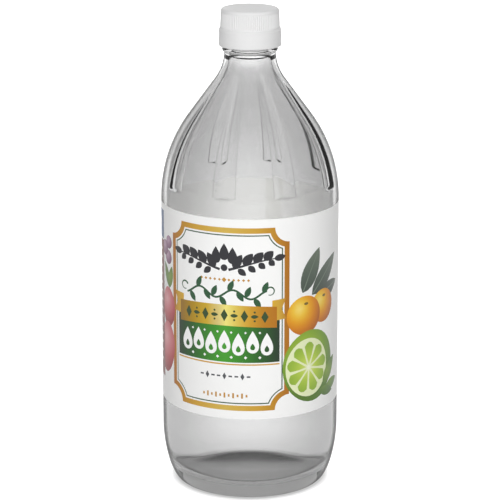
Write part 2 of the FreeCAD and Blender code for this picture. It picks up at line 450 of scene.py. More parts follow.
# %% [markdown]
# ## Screw cap
#
# The cap is injection moulded: ninety fine upright ribs for grip, a plain band below them and a
# slightly dished top with a rounded rim.  The ribs are a wave on the skirt's radius that fades out at
# both ends, as the mould's cutter leaves it.

# %% Sizes of the cap
cap_foot_z = bead_z + bead_r + 0.6
band_r = neck_r + 2.85
band_draft = 0.25
band_z = cap_foot_z + 8.2
step_z = band_z + 0.6
skirt_r = neck_r + 1.95
skirt_draft = 0.25
cap_top_z = mouth_z + 1.6
top_r = 1.4
foot_round = 0.6
band_round = 0.45
inner_round = 0.4
dish = 0.35
thread_r = neck_r + 0.9
band_in_r = thread_r + 0.8
rib_count = 90
rib_depth = 0.28
rib_samples = 8
rib_foot_z = step_z + 0.25
rib_head_z = cap_top_z - 1.5
top_edge_r = skirt_r - skirt_draft
dish_r = top_edge_r - 2.0
print("cap from", round(cap_foot_z, 2), "to", round(cap_top_z, 2), "mm, widest radius", round(band_r, 2))

# %% The cap
def rib_push(z):
    """The ribs' wave at that height: crests stay on the skirt, grooves go in."""
    strength = smooth((z - rib_foot_z) / 0.3) * smooth((rib_head_z - z) / 0.5)
    return lambda a: (-rib_depth * strength * (0.5 - 0.5 * np.cos(rib_count * a)) ** 0.7, 0.0)


cap_inside = joined(between((0, mouth_z), (thread_r - inner_round, mouth_z), 2),
                    bow((thread_r - inner_round, mouth_z - inner_round), inner_round, 90, 0, 3),
                    between((thread_r, mouth_z - 0.6), (thread_r, step_z), 2),
                    between((thread_r, step_z), (band_in_r, band_z), 1),
                    between((band_in_r, band_z), (band_in_r, cap_foot_z), 2))
cap_foot = joined(between((band_in_r + 0.1, cap_foot_z), (band_r - foot_round - 0.05, cap_foot_z), 1),
                  bow((band_r - foot_round, cap_foot_z + foot_round), foot_round, -85, -3, 6),
                  between((band_r, cap_foot_z + 0.9), (band_r - band_draft, band_z - 0.5), 3),
                  bow((band_r - band_draft - band_round, band_z - 0.4), band_round, 5, 70, 4),
                  through((skirt_r + 0.5, step_z - 0.28), (skirt_r + 0.18, step_z - 0.12),
                          (skirt_r, step_z + 0.12), 3))
skirt = between((skirt_r, rib_foot_z), (top_edge_r, rib_head_z), 14)
cap_top = joined(between((top_edge_r, rib_head_z + 0.05), (top_edge_r, cap_top_z - top_r), 1),
                 bow((top_edge_r - top_r, cap_top_z - top_r), top_r, 3, 90, 10),
                 between((top_edge_r - top_r - 0.2, cap_top_z), (dish_r + 0.2, cap_top_z - 0.01), 1),
                 [(r, cap_top_z - dish * (1 - (r / dish_r) ** 2)) for r in np.linspace(dish_r, 0, 12)])
cap_fine = rib_count * rib_samples
cap_rings = [ring(max(r, 0), z, rib_count if r > 1e-6 else 1) for r, z in cap_inside]
cap_rings += [ring(r, z, cap_fine) for r, z in cap_foot]
cap_rings += [ring(r, z, cap_fine, rib_push(z)) for r, z in skirt]
cap_rings += [ring(max(r, 0), z, cap_fine if r > 1e-6 else 1) for r, z in cap_top]
cap = mesh_piece("screw_cap", *skin(cap_rings), "cap", "cap")

# %% [markdown]
# ## Label
#
# The label is a printed sheet of paper that goes once round the body, with a short lap at the back.
# Its print is flat fields of ink, so it is drawn as the printer's artwork is: plain outlines laid over
# each other on a flat sheet, in millimetres from the middle of the front.  A constrained triangulation
# then cuts the sheet along every outline, and the sheet is rolled round the glass.

# %% Colours and inks
def colour(code):
    """A printer's sRGB hex colour as the linear light that the renderer works in."""
    parts = [int(code[i:i + 2], 16) / 255 for i in (1, 3, 5)]
    return np.array([c / 12.92 if c <= 0.04045 else ((c + 0.055) / 1.055) ** 2.4 for c in parts])


def fade(stops):
    """A function that blends linear colours along a number; stops are (number, hex colour)."""
    at = [s[0] for s in stops]
    shades = np.array([colour(s[1]) for s in stops])
    return lambda x: np.array([np.interp(x, at, shades[:, k]) for k in range(3)])


def plain(code):
    """An ink of one colour."""
    shade = colour(code)
    return lambda u, v: shade


def outwards(stops):
    """An ink that changes from the label's middle line towards both sides."""
    blend = fade(stops)
    return lambda u, v: blend(abs(u))


def along(stops):
    """An ink that changes from left to right."""
    blend = fade(stops)
    return lambda u, v: blend(u)


def upwards(stops):
    """An ink that changes with the height on the label."""
    blend = fade(stops)
    return lambda u, v: blend(v)


def ball(u0, v0, radius, codes, squash=1.0):
    """An ink that shades a round thing from its lit place to its rim."""
    blend = fade([(i / (len(codes) - 1), c) for i, c in enumerate(codes)])
    return lambda u, v: blend(math.hypot((u - u0) / squash, v - v0) / radius)


# %% Outlines
sheet_h = 100.8
artwork = []


def lay(outline, ink):
    """Lays one field of ink over what is already drawn, with its outline counter-clockwise."""
    points = [(float(u), float(v)) for u, v in outline]
    twice_area = sum(p[0] * q[1] - q[0] * p[1] for p, q in zip(points, points[1:] + points[:1]))
    artwork.append((points if twice_area > 0 else points[::-1], ink))


def turned_to(points, u, v, deg):
    """Points turned by an angle and moved to a place."""
    c, s = math.cos(math.radians(deg)), math.sin(math.radians(deg))
    return [(u + x * c - y * s, v + x * s + y * c) for x, y in points]


def bar(u0, v0, u1, v1):
    return [(u0, v0), (u1, v0), (u1, v1), (u0, v1)]


def oval(u, v, a, b, deg=0, steps=36):
    points = [(a * math.cos(t), b * math.sin(t)) for t in np.arange(steps) * full_turn / steps]
    return turned_to(points, u, v, deg)


def leaf(u, v, length, width, deg, blunt=0.8, steps=12):
    """A pointed leaf from its stalk."""
    t = np.linspace(0, 1, steps)
    half = width / 2 * np.sin(np.pi * t ** 0.85) ** blunt
    edge = list(zip(t * length, half)) + list(zip(t[-2:0:-1] * length, -half[-2:0:-1]))
    return turned_to(edge, u, v, deg)


def drop(u, v, height, width, deg=0, steps=24):
    """A drop of liquid, point up, standing on its round end."""
    points = []
    for t in np.arange(steps) * full_turn / steps:
        lift = (1 - math.cos(t)) / 2
        points.append((width * 0.65 * math.sin(t) * (1 - lift) ** 0.55, height * lift))
    return turned_to(points, u, v, deg)


def lozenge(u, v, width, height):
    return [(u - width / 2, v), (u, v - height / 2), (u + width / 2, v), (u, v + height / 2)]


def stroke(points, thick, end_thick=None):
    """A line with a width, which may taper to its end."""
    line = np.array(points, float)
    way = np.gradient(line, axis=0)
    way /= np.linalg.norm(way, axis=1)[:, None]
    half = np.linspace(thick, thick if end_thick is None else end_thick, len(line))[:, None] / 2
    side = np.stack([-way[:, 1], way[:, 0]], axis=1) * half
    return [tuple(p) for p in line + side] + [tuple(p) for p in (line - side)[::-1]]


def plaque(inset, half_w=32.5, foot_v=4.3, head_v=96.6, scoop=7.5, steps=12):
    """A tall board with a scoop taken out of each corner, moved inwards by the inset."""
    corners = ((half_w, foot_v, 90, 180), (half_w, head_v, 180, 270),
               (-half_w, head_v, 270, 360), (-half_w, foot_v, 0, 90))
    points = []
    for cu, cv, a0, a1 in corners:
        r = scoop + inset
        trim = math.degrees(math.asin(inset / r))
        for t in np.radians(np.linspace(a1 - trim, a0 + trim, steps)):
            points.append((cu + r * math.cos(t), cv + r * math.sin(t)))
    return points


# %% The front board
gold_edge = outwards([(0, "#cfae50"), (16, "#c79a35"), (26, "#b67f1d"), (31.5, "#a8690f")])
green_line = plain("#33503a")
white_paper = plain("#f6f6f5")
lay(plaque(0.0), gold_edge)
lay(plaque(2.7), white_paper)
lay(plaque(3.5), green_line)
lay(plaque(4.1), white_paper)

# %% [markdown]
# The board holds, from the top: a black spray of leaves, a small gold row, a green tendril, a gold
# ribbon that lies over a deep green band with white drops, and two thin rows of dashes.  They take the
# places, sizes and colours that print has on such a label, and say nothing.

# %% Spray of leaves and tendril
board_black = plain("#1f1f24")
leaf_green = plain("#1d4a2b")
small_gold = plain("#b98632")


def stem_v(x):
    """Height of the spray's stem beside the middle line."""
    return 75.2 + 6.2 * math.sin(x / 25 * 1.35) ** 1.2


def tendril_v(x):
    return 63.6 + 2.1 * math.sin(x * 0.36) - 0.02 * x


for side in (-1, 1):
    stem = [(side * x, stem_v(x)) for x in np.linspace(2.2, 25, 16)]
    lay(stroke(stem, 1.3, 0.5), board_black)
    for x in (4.5, 9.5, 14.5, 19.5):
        base = stem_v(x)
        size = 8.6 - 0.12 * x
        up_deg, down_deg = 62 - x, -38 - 0.2 * x
        lay(leaf(side * x, base + 0.3, size, 4.6, up_deg if side > 0 else 180 - up_deg), board_black)
        lay(leaf(side * (x + 2.4), base - 0.1, size * 0.62, 3.2, down_deg if side > 0 else 180 - down_deg),
            board_black)
    lay(leaf(side * 24.6, 81.0, 6.0, 3.4, 12 if side > 0 else 168), board_black)
for place, height in ((-4.2, 78.6), (4.2, 78.6), (0, 80.4)):
    lay(drop(place, height, 8.4, 5.0), board_black)
lay(oval(0, 76.6, 1.7, 1.7), board_black)
for place in range(-5, 6):
    size = 2.6 if place == 0 else 1.5
    lay(lozenge(2.4 * place, 70.6, size, size), small_gold)
lay(stroke([(x, tendril_v(x)) for x in np.linspace(-21, 21, 60)], 1.0), leaf_green)
for k, x in enumerate(np.linspace(-19, 19, 10)):
    lay(leaf(x, tendril_v(x), 6.0, 2.9, 66 if k % 2 else -58), leaf_green)
for side in (-1, 1):
    curl = [(side * (22.6 - 2.0 * math.cos(t)), 65.0 + 2.0 * math.sin(t)) for t in np.linspace(0.3, 5.2, 20)]
    lay(stroke(curl, 0.9, 0.4), leaf_green)

# %% Green band and its drops
band_ink = outwards([(0, "#3f9626"), (10, "#2c741b"), (18, "#174f10"), (24, "#0b330b"), (28, "#061d0d")])
pale_gold = plain("#c9973a")
band_half = 27.4
lay(bar(-band_half, 27.6, band_half, 28.3), pale_gold)
lay(bar(-band_half, 29.0, band_half, 52.6), band_ink)
lay(bar(-band_half, 53.3, band_half, 53.9), pale_gold)
for k in range(7):
    u = -21 + 7 * k
    raised = 1.2 if k % 2 else 0
    lay(drop(u, 32.6 + raised, 11.4, 6.4), white_paper)
    lay(drop(u, 34.3 + raised, 3.4, 2.4), band_ink)
for k in range(6):
    lay(lozenge(-17.5 + 7 * k, 31.6, 1.6, 1.6), white_paper)
    lay(lozenge(-17.5 + 7 * k, 44.2, 1.3, 1.3), white_paper)

# %% Gold ribbon over the band
ribbon_ink = along([(-26, "#8b661f"), (-18, "#a98408"), (-9, "#c8a52c"), (-3, "#d6c27a"), (1, "#ece07c"),
                    (6, "#d9bf55"), (12, "#c9992a"), (19, "#b57b14"), (26, "#ae6c0b")])
tail_ink = outwards([(22, "#d8a928"), (27, "#c9a03a"), (31, "#b5811f")])
fold_ink = plain("#5e3f0c")
ribbon_half = 26
ribbon_foot_v, ribbon_middle_v, ribbon_head_v = 46.4, 51.7, 57.0


def ribbon_bow(u):
    """How much higher the ribbon lies than at its ends."""
    return 1.1 * math.cos(u / ribbon_half * math.pi / 2)


for side in (-1, 1):
    tail = [(23.6, 49.8), (23.6, 60.2), (30.6, 60.9), (28.5, 55.6), (30.8, 50.6)]
    fold = [(23.4, 47.0), (26.2, 50.0), (23.4, 50.2)]
    lay([(side * u, v) for u, v in tail], tail_ink)
    lay([(side * u, v) for u, v in fold], fold_ink)
edge_u = np.linspace(-ribbon_half, ribbon_half, 25)
lay([(u, ribbon_foot_v + ribbon_bow(u)) for u in edge_u]
    + [(u, ribbon_head_v + ribbon_bow(u)) for u in edge_u[::-1]], ribbon_ink)
ribbon_mark = plain("#26401a")
for k in range(9):
    u = -20 + 5 * k
    v = ribbon_middle_v + ribbon_bow(u)
    if k % 2 == 0:
        lay(lozenge(u, v, 3.6, 6.2), ribbon_mark)
    else:
        lay(leaf(u - 1.9, v, 3.8, 1.9, 0), ribbon_mark)
        lay(oval(u, v + 2.2, 0.55, 0.55, steps=12), ribbon_mark)
        lay(oval(u, v - 2.2, 0.55, 0.55, steps=12), ribbon_mark)

# %% Rows of dashes under the band
thin_black = plain("#4a4c50")
for k in range(9):
    u = -12 + 3 * k
    if k % 3 == 1:
        lay(lozenge(u, 21.8, 2.0, 3.6), thin_black)
    else:
        lay(bar(u - 0.9, 21.4, u + 0.9, 22.2), thin_black)
for k in range(11):
    u = -11 + 2.2 * k
    height = 2.6 if k % 2 else 1.3
    lay(bar(u - 0.45, 12.0 - height / 2, u + 0.45, 12.0 + height / 2), small_gold)

# %% [markdown]
# Beside the board lie kitchen-garden motifs: leaves, round yellow fruits and half a green one on the
# right, a red and a plum coloured one on the left.  Each is a few outlines with an ink that shades from
# its lit place to its rim, as an airbrushed pack print does.

# %% Fruits and leaves on the right
leaf_light = plain("#6d7a6c")
for u, v, length, width, deg in ((40, 62, 24, 10, 62), (46, 60, 27, 9.5, 40), (50, 58, 20, 8, 14)):
    lay(leaf(u, v, length, width, deg), upwards([(58, "#2f3a31"), (70, "#4b574c"), (84, "#647060")]))
    rib = turned_to([(1, 0), (length * 0.5, 0.4), (length * 0.93, 0)], u, v, deg)
    lay(stroke(rib, 0.7, 0.2), leaf_light)
sun = ["#f6dd7a", "#ecc23c", "#e09a18", "#cc7a12", "#a95c0e"]
for u, v, r in ((54.5, 53, 9.0), (41.5, 50.5, 10.5)):
    lay(oval(u, v, r, r * 0.94), ball(u - r * 0.3, v + r * 0.35, r * 1.35, sun))
    lay(oval(u + 0.8, v + r * 0.55, 1.3, 0.7, steps=14), plain("#6b5a1c"))
rind = ["#a9bf3a", "#8fae33", "#6f9429", "#4d701d"]
lay(oval(46, 24, 17.0, 18.5, 12), ball(42, 31, 22, rind))
lay(oval(44.2, 23.4, 13.6, 15.0, 12), plain("#e6edc0"))
for k in range(9):
    deg = 40 * k + 8
    near = turned_to([(1.6, 0)], 44.2, 23.4, deg)[0]
    wedge = [(0, 0), (4.5, -1.7), (9.2, -3.0), (10.9, -1.6), (11.4, 0), (10.9, 1.6), (9.2, 3.0), (4.5, 1.7)]
    lay(turned_to(wedge, *near, deg), ball(44.2, 23.4, 13.5, ["#dbe38a", "#b9cf52", "#9dbb3f", "#86a834"]))
lay(oval(44.2, 23.4, 1.2, 1.2, steps=14), plain("#f1f4d8"))
for u, v, length, width, deg in ((55, 12, 17, 7, 48), (57, 9, 14, 5.6, 12), (52, 9.5, 13, 5.2, -12)):
    lay(leaf(u, v, length, width, deg), ball(u + 4, v + 6, 13, ["#7f9c34", "#55772a", "#33501d"]))

# %% Fruits on the left and the panel's edge beyond them
rose = ["#e2a6aa", "#cf7a80", "#b2494f", "#8d2a30"]
lay(leaf(-36, 60, 14, 5, 118), ball(-38, 66, 12, ["#6f8a3a", "#43601f", "#2c4218"]))
lay(leaf(-37, 60, 12, 5, 74), ball(-36, 66, 12, ["#7d973f", "#4f6d25", "#2f471a"]))
lay(oval(-38.2, 50, 7.0, 10.2), ball(-39.5, 54, 12.5, rose))
lay(oval(-40.0, 29, 8.2, 13.4, -8), ball(-41, 34, 16, rose))
plum = ["#c9acc0", "#9c7690", "#6b4660"]
lay(oval(-37.6, 75.5, 3.6, 3.6), ball(-38.6, 77, 5, plum))
lay(oval(-42.0, 79.5, 3.9, 3.9), ball(-43.0, 81, 5.4, plum))
lay(oval(-37.0, 83.2, 3.3, 3.3), ball(-37.8, 84.4, 4.6, plum))
panel_blue = plain("#2f4f77")
panel_brown = plain("#5d1c16")
panel_u = -44.5
panel_w = 44
lay(bar(panel_u - panel_w, 83, panel_u, 97.4), panel_blue)
lay(bar(panel_u - panel_w, 12, panel_u, 82.2), panel_brown)
pale_print = plain("#e9e4dc")
for k in range(14):
    v = 76.4 - 4.4 * k
    length = 36 if k % 4 else 24
    lay(bar(panel_u - 4 - length, v, panel_u - 4, v + 1.3), pale_print)
for k in range(5):
    lay(lozenge(panel_u - 8 - 7 * k, 90.2, 4.4, 6.0), pale_print)

# %% Back of the sheet
grey_print = plain("#8b8f94")
for u0 in (82, 112):
    lay(bar(u0 - 0.4, 14, u0 + 24.4, 88), plain("#5a5e63"))
    lay(bar(u0, 14.4, u0 + 24, 87.6), white_paper)
    for k in range(15):
        v = 82 - 4.6 * k
        lay(bar(u0 + 2, v, u0 + (22 if k % 3 else 15), v + (1.7 if k % 5 == 0 else 1.0)), grey_print)
lay(bar(-131, 29, -100, 52.6), outwards([(100, "#061d0d"), (115, "#2c741b"), (131, "#061d0d")]))
lay(bar(-131, 53.4, -100, 54.2), pale_gold)
lay(bar(-131, 27.4, -100, 28.2), pale_gold)
for k in range(4):
    lay(drop(-127 + 7.6 * k, 34, 12, 6.6), white_paper)
for k in range(3):
    lay(lozenge(-123.2 + 7.6 * k, 40, 1.8, 2.6), white_paper)
print("artwork", len(artwork), "fields of ink")

# %% [markdown]
# The sheet is cut along all those outlines at once.  Lines every two millimetres are added: upright
# ones, so that it can bend round the glass, and level ones across the shaded inks, which need points
# to change at.

# %% Cut the sheet
label_r = body_r + 0.03
lap = 9.0
paper_t = 0.1
# The sheet is laid off at this radius, close to the lap's outer turn.
sheet_r = body_r + 0.12
reach = math.pi * sheet_r
half_len = reach + lap / 2
bend_step = 2.0
shaded_from, shaded_to = -62.0, 70.0

spots, lines, fields = [], [], []


def add_field(outline):
    start = len(spots)
    spots.extend(Vector(p) for p in outline)
    fields.append(list(range(start, start + len(outline))))


add_field(bar(-half_len, 0, half_len, sheet_h))
for outline, ink in artwork:
    add_field(outline)
for u in np.arange(-half_len + bend_step, half_len - bend_step / 2, bend_step):
    lines.append((len(spots), len(spots) + 1))
    spots.extend((Vector((u, 0.0)), Vector((u, sheet_h))))
for v in np.arange(bend_step, sheet_h, bend_step):
    lines.append((len(spots), len(spots) + 1))
    spots.extend((Vector((shaded_from, v)), Vector((shaded_to, v))))
cut_spots, _, cut_faces, _, _, owners = delaunay_2d_cdt(spots, lines, fields, 1, 1e-5)
print("sheet cut into", len(cut_faces), "pieces with", len(cut_spots), "points")

# %% Roll it round the glass
label_foot_z = heel_top_z + 14.4
lap_start = 2 * reach - half_len
lap_ease, lap_rise = 2.5, 2.0


def rolled(u, v):
    """A point of the flat sheet on the glass. The last few millimetres lie over the sheet's start."""
    lift = paper_t * smooth((u - lap_start + lap_ease) / lap_rise)
    a = -math.pi / 2 + u / sheet_r
    r = label_r + lift
    return (r * math.cos(a), r * math.sin(a), label_foot_z + v)


sheet_points = [rolled(p[0], p[1]) for p in cut_spots]
label = mesh_piece("paper_label", sheet_points, [tuple(f) for f in cut_faces], "label", "paper")
outward = [Vector((x, y, 0)).normalized() for x, y, z in sheet_points]
label.data.normals_split_custom_set_from_vertices(outward)
inks = [white_paper] + [ink for outline, ink in artwork]
print_layer = label.data.color_attributes.new("print", "FLOAT_COLOR", "CORNER")
tints = np.ones((len(label.data.loops), 4), np.float32)
for face, owner in zip(label.data.polygons, owners):
    ink = inks[max(owner)] if owner else white_paper
    for loop in face.loop_indices:
        p = cut_spots[label.data.loops[loop].vertex_index]
        tints[loop, :3] = ink(p[0], p[1])
print_layer.data.foreach_set("color", tints.ravel())
facing_out = sum(1 for f in label.data.polygons if f.normal.dot(Vector((f.center.x, f.center.y, 0))) > 0)
print("label faces that look outwards", facing_out, "of", len(label.data.polygons))

# %% [markdown]
# ## Finishes
#
# One small helper adds a node with its settings and its links, so that each material below reads as a
# list of what it is made of.

# %% Helper for nodes
def add(tree, kind, feeds=None, stops=(), **settings):
    """Adds a node. feeds are its inputs, each a value or another's output, stops the (place, linear
    grey) points of a ramp, and settings its own options."""
    node = tree.nodes.new(kind)
    for option, value in settings.items():
        setattr(node, option, value)
    for socket, value in (feeds or {}).items():
        if isinstance(value, bpy.types.NodeSocket):
            tree.links.new(value, node.inputs[socket])
        else:
            node.inputs[socket].default_value = value
    if stops:
        marks = node.color_ramp.elements
        while len(marks) < len(stops):
            marks.new(0.5)
        for mark, (place, grey) in zip(marks, stops):
            mark.position = place
            mark.color = (grey, grey, grey, 1)
    return node


def finish_for(piece, name):
    """A new empty material on a piece."""
    material = bpy.data.materials.new(name)
    material.use_nodes = True
    material.node_tree.nodes.clear()
    piece.data.materials.append(material)
    print("finish", name, "on", piece.name)
    return material.node_tree


def rgba(code):
    return (*colour(code), 1.0)


# %% [markdown]
# Soda-lime flint glass, blown into a polished mould: clear, colourless and smooth.  The eye sees it by
# what it bends.  Its grey is painted shade: it deepens where the eye looks through the wall at a slant,
# so the painted shade follows the angle and the sides read darker, and it changes with height, darker
# on the shoulder and paler at the foot.  The neck is painted paler, for the light that comes through it
# from close behind.
#
# The real index is about 1.5.  A renderer follows a ray through a few surfaces only, and at 1.5 the
# light that runs along inside the fluted wall is caught there and turns black.  At 1.3 most of it gets
# out, as it does in real glass.
#
# On a real bottle in front of a white wall, the outline and the flutes' bends look dark, because they
# show the unlit room far to the side.  Here the room is white all round, so that dark is a painted
# reflection: a share of dark matt is mixed in, at the outline by the slant, and at the bends by their
# marks, mostly on the far wall, where the eye sees the glass from within.

# %% Blown flint glass
glass_index = 1.3
tree = finish_for(glass, "blown_flint_glass")
facing = add(tree, "ShaderNodeLayerWeight", {"Blend": 0.5}).outputs["Facing"]
# Painted shade: the glass is made greyer the more the eye looks through it at a slant.
slant_shade_stops = [(0.0, 0.923), (0.036, 0.905), (0.08, 0.88), (0.109, 0.868), (0.15, 0.848), (0.178, 0.837),
          (0.267, 0.81), (0.4, 0.785), (0.70, 0.74), (0.88, 0.62), (1.0, 0.40)]
painted_slant_shade = add(tree, "ShaderNodeValToRGB", {"Fac": facing},
                 stops=[(slant, share * share) for slant, share in slant_shade_stops]).outputs["Color"]
place = add(tree, "ShaderNodeTexCoord").outputs["Object"]
height = add(tree, "ShaderNodeSeparateXYZ", {"Vector": place}).outputs["Z"]
# Painted shade by height: darkest on the shoulder, no grey at the foot or at the top of the neck.
height_shade_stops = [(0, 1.0), (44, 1.0), (140, 0.86), (175, 0.80), (205, 0.80), (211.5, 0.86), (214.5, 1.0)]
zones_top_z = 250
tall = add(tree, "ShaderNodeMath", {0: height, 1: zones_top_z * mm}, operation="DIVIDE").outputs["Value"]
painted_height_shade = add(tree, "ShaderNodeValToRGB", {"Fac": tall},
                stops=[(z / zones_top_z, grey) for z, grey in height_shade_stops]).outputs["Color"]
painted_glass_shade = add(tree, "ShaderNodeMix", {0: 1.0, 6: painted_slant_shade, 7: painted_height_shade},
           data_type="RGBA", blend_type="MULTIPLY")
shell = add(tree, "ShaderNodeBsdfPrincipled", {"Base Color": painted_glass_shade.outputs[2], "Roughness": 0.0,
                                               "IOR": glass_index, "Transmission Weight": 1.0})

# %% Painted dark outline and bends of the glass
painted_outline_share = add(tree, "ShaderNodeValToRGB", {"Fac": facing},
                stops=[(0.0, 0.0), (0.70, 0.0), (0.80, 0.6), (1.0, 0.75)]).outputs["Color"]
bend = add(tree, "ShaderNodeVertexColor", layer_name="bends").outputs["Color"]
painted_bend_share = add(tree, "ShaderNodeValToRGB", {"Fac": bend},
                 stops=[(0.0, 0.0), (0.35, 0.0), (1.0, 0.6)]).outputs["Color"]
far_wall = add(tree, "ShaderNodeNewGeometry").outputs["Backfacing"]
line_weight = add(tree, "ShaderNodeValToRGB", {"Fac": far_wall},
                  stops=[(0.0, 0.3), (1.0, 1.0)]).outputs["Color"]
painted_line_share = add(tree, "ShaderNodeMath", {0: painted_bend_share, 1: line_weight}, operation="MULTIPLY").outputs[0]
painted_dark_share = add(tree, "ShaderNodeMath", {0: painted_outline_share, 1: painted_line_share}, operation="MAXIMUM").outputs[0]
# Painted dark reflection: dark matt mixed into the glass at its outline and at the flutes' bends.
rim = add(tree, "ShaderNodeBsdfDiffuse", {"Color": rgba("#202020")})
outline = add(tree, "ShaderNodeMixShader", {"Fac": painted_dark_share, 1: shell.outputs["BSDF"],
                                            2: rim.outputs["BSDF"]})
add(tree, "ShaderNodeOutputMaterial", {"Surface": outline.outputs["Shader"]})
print("blown_flint_glass has", len(tree.nodes), "nodes")

# %% [markdown]
# At the foot the eye looks down through the whole bottle at glass that is several millimetres thick.
# Its underside is painted shade: a plain matt grey that stands for the shaded table under it.  The
# inner floor is clear where the eye looks straight down on it, and is painted darker the flatter the
# eye looks along it, a painted shade that makes the dark arc at the back of the base.

# %% Painted shade on the thick base of the glass
sole_r, sole_top_z, sole_slope = 33, 4.5, -0.4
tree = finish_for(glass, "underside_painted_shade")
# Painted shade: matt grey on the underside for the shaded table under the bottle.
painted_underside_shade = add(tree, "ShaderNodeBsdfDiffuse", {"Color": rgba("#b5b5b5")})
add(tree, "ShaderNodeOutputMaterial", {"Surface": painted_underside_shade.outputs["BSDF"]})

base_r, base_top_z, base_slope = 29.5, 16, 0.5
tree = finish_for(glass, "glass_base_painted_shade")
slant = add(tree, "ShaderNodeLayerWeight", {"Blend": 0.5}).outputs["Facing"]
# Painted shade: dark matt is mixed into the inner floor, more the flatter the eye looks along it.
depth = add(tree, "ShaderNodeValToRGB", {"Fac": slant},
            stops=[(0.62, 0.0), (0.72, 0.25), (0.80, 0.75), (0.90, 0.95)]).outputs["Color"]
above = add(tree, "ShaderNodeMath", {0: 1.0, 1: add(tree, "ShaderNodeNewGeometry").outputs["Backfacing"]},
            operation="SUBTRACT").outputs[0]
share = add(tree, "ShaderNodeMath", {0: depth, 1: above}, operation="MULTIPLY").outputs[0]
clear = add(tree, "ShaderNodeBsdfPrincipled", {"Base Color": rgba("#f2f2f2"), "Roughness": 0.0,
                                               "IOR": glass_index, "Transmission Weight": 1.0})
deep = add(tree, "ShaderNodeBsdfDiffuse", {"Color": rgba("#202020")})
base = add(tree, "ShaderNodeMixShader", {"Fac": share, 1: clear.outputs["BSDF"], 2: deep.outputs["BSDF"]})
add(tree, "ShaderNodeOutputMaterial", {"Surface": base.outputs["Shader"]})
for face in glass.data.polygons:
    wide, up = face.center.xy.length / mm, face.center.z / mm
    under = face.normal.z < sole_slope and up < sole_top_z and wide < sole_r
    inner_floor = face.normal.z > base_slope and up < base_top_z and wide < base_r
    face.material_index = 1 if under else (2 if inner_floor else 0)
print("faces of the underside", sum(1 for f in glass.data.polygons if f.material_index == 1),
      "and of the inner floor", sum(1 for f in glass.data.polygons if f.material_index == 2))

# %% [markdown]
# White vinegar is water with a twentieth of acid: colourless and bright.  The real index is 1.333, but
# in a glass of 1.3 a lower one keeps what lies behind it in its place: 1.15 from the base up to half
# of the label, and 1.0 above, which leaves the flutes of the far wall as straight and wide as they
# show on the real bottle.  The change from one to the other hides behind the label.

# %% Clear vinegar
low_index = 1.15
high_index = 1.0
split_z = 95
for name, index in (("clear_vinegar", low_index), ("clear_vinegar_shoulder", high_index)):
    tree = finish_for(vinegar, name)
    body = add(tree, "ShaderNodeBsdfPrincipled", {"Base Color": rgba("#ffffff"), "Roughness": 0.0,
                                                  "IOR": index, "Transmission Weight": 1.0})
    add(tree, "ShaderNodeOutputMaterial", {"Surface": body.outputs["BSDF"]})

# %% [markdown]
# Where the surface climbs the wall it is steep, and shows as a dark ring to an eye that looks up at it
# through the vinegar.  With an index of 1.0 the liquid bends and mirrors nothing, so the dark ring is
# painted on the climbing faces: a painted dark reflection, on the side that faces the vinegar only.

# %% Painted dark ring at the edge of the vinegar's surface
edge_down, edge_flat, edge_upright = 0.2, 0.985, 0.02
tree = finish_for(vinegar, "vinegar_edge_painted_shade")
body = add(tree, "ShaderNodeBsdfPrincipled", {"Base Color": rgba("#ffffff"), "Roughness": 0.0,
                                              "IOR": high_index, "Transmission Weight": 1.0})
# Painted dark reflection, seen only from within the vinegar.
painted_ring_shade = add(tree, "ShaderNodeBsdfPrincipled", {"Base Color": rgba("#101010"), "Roughness": 0.5,
                                              "Specular IOR Level": 0.0})
from_below = add(tree, "ShaderNodeNewGeometry").outputs["Backfacing"]
edge = add(tree, "ShaderNodeMixShader", {"Fac": from_below, 1: body.outputs["BSDF"], 2: painted_ring_shade.outputs["BSDF"]})
add(tree, "ShaderNodeOutputMaterial", {"Surface": edge.outputs["Shader"]})
for face in vinegar.data.polygons:
    up = face.center.z / mm
    at_edge = up > fill_z - edge_down and edge_upright < face.normal.z < edge_flat
    face.material_index = 2 if at_edge else (1 if up > split_z else 0)
print("faces of the climbing edge", sum(1 for f in vinegar.data.polygons if f.material_index == 2))

# %% [markdown]
# Label paper: white wood-free stock with a thin coat of varnish over offset inks, so a broad soft
# gloss.  Paper lets light through, so its plain inside glows where the light falls on its face.  Single
# fibres are a fiftieth of a millimetre wide, too fine to show, so they are drawn as clumps.

# %% Varnished label paper
clumps_per_mm = 0.9
tree = finish_for(label, "varnished_label_paper")
printed = add(tree, "ShaderNodeVertexColor", layer_name="print").outputs["Color"]
where = add(tree, "ShaderNodeTexCoord").outputs["Object"]
fibre = add(tree, "ShaderNodeTexNoise", {"Vector": where, "Scale": clumps_per_mm / mm, "Detail": 3.0})
grain = add(tree, "ShaderNodeBump", {"Height": fibre.outputs["Fac"], "Strength": 0.08, "Distance": 0.2 * mm})
face_side = add(tree, "ShaderNodeBsdfPrincipled", {"Base Color": printed, "Roughness": 0.42, "IOR": 1.45,
                                                   "Normal": grain.outputs["Normal"]})
inner_side = add(tree, "ShaderNodeBsdfTranslucent", {"Color": rgba("#f4f4f2")})
behind = add(tree, "ShaderNodeNewGeometry").outputs["Backfacing"]
paper = add(tree, "ShaderNodeMixShader", {"Fac": behind, 1: face_side.outputs["BSDF"],
                                          2: inner_side.outputs["BSDF"]})
add(tree, "ShaderNodeOutputMaterial", {"Surface": paper.outputs["Shader"]})

# %% [markdown]
# Polypropylene, injection moulded and left as it comes from a fine spark-eroded mould: an opaque warm
# white with a satin shine.  The mould's grain is finer than shows, so it is drawn a little coarser.

